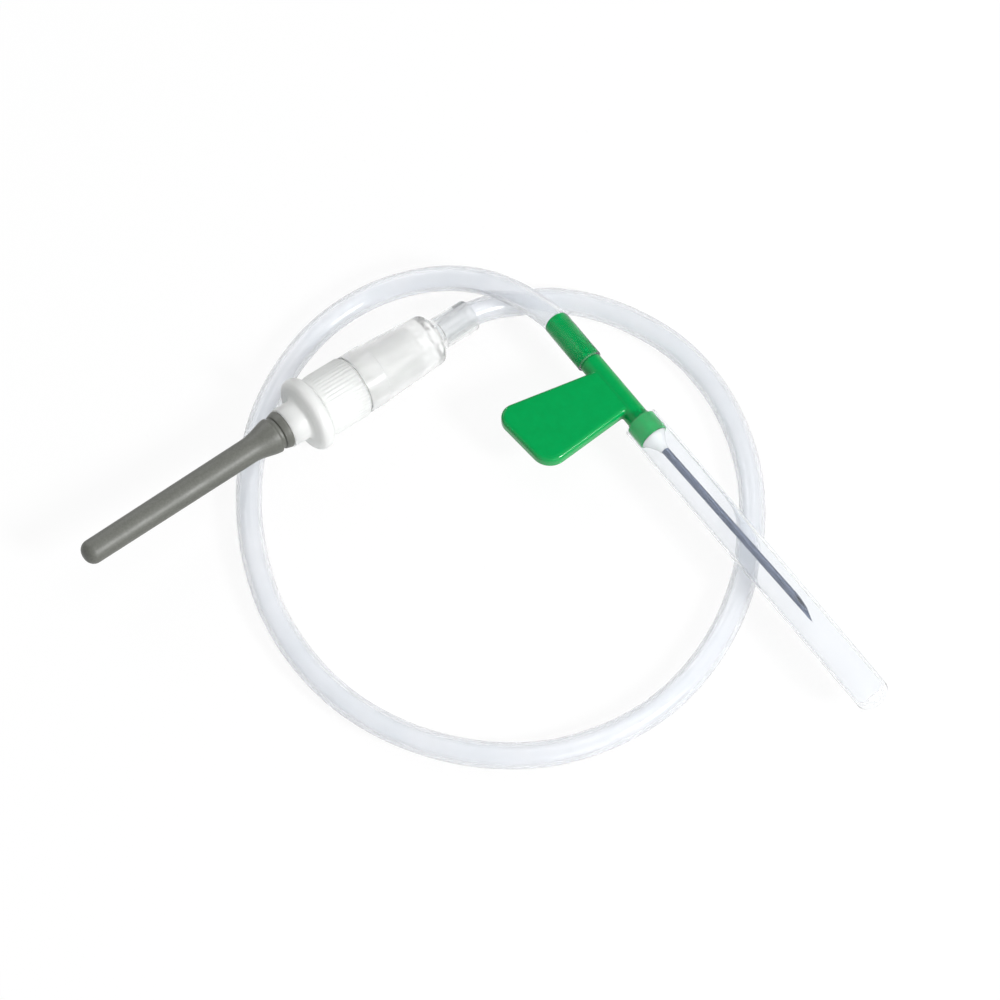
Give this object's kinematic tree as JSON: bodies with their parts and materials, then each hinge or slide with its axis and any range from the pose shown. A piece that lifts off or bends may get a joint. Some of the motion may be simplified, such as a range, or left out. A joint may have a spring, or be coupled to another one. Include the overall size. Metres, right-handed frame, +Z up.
{
  "type": "butterfly needle",
  "caption": "Winged blood-collection needle with a looped tube, a luer adapter and a sleeved rear needle.",
  "frame": {"origin": "middle of the rigid pieces, on the surface that the set lies on", "axes": "+Z up, +X from the sleeve's side to the sheath's side, -Y towards the viewer"},
  "size_m": [0.0818, 0.0578, 0.0083],
  "materials": {
    "tube": "soft translucent tubing",
    "clear_plastic": "clear moulded plastic",
    "ivory_plastic": "translucent moulded plastic",
    "sleeve_rubber": "dark moulded elastomer",
    "needle_steel": "drawn and ground stainless steel",
    "green_plastic": "smooth moulded plastic",
    "bond": "cured adhesive",
    "sheath_plastic": "thin clear plastic"
  },
  "bodies": {
    "set": {"tube": "tube", "luer_connector": "clear_plastic", "adapter_body": "ivory_plastic", "rubber_sleeve": "sleeve_rubber", "back_needle": "needle_steel", "wing_hub": "green_plastic", "needle_bond": "bond", "needle_cannula": "needle_steel"},
    "sheath": {"needle_sheath": "sheath_plastic"}
  },
  "joints": [
    {"name": "sheath_pull", "type": "slide", "parent": "set", "child": "sheath", "axis": [0.585, -0.8111, 0], "range_m": [0, 0.032]}
  ]
}
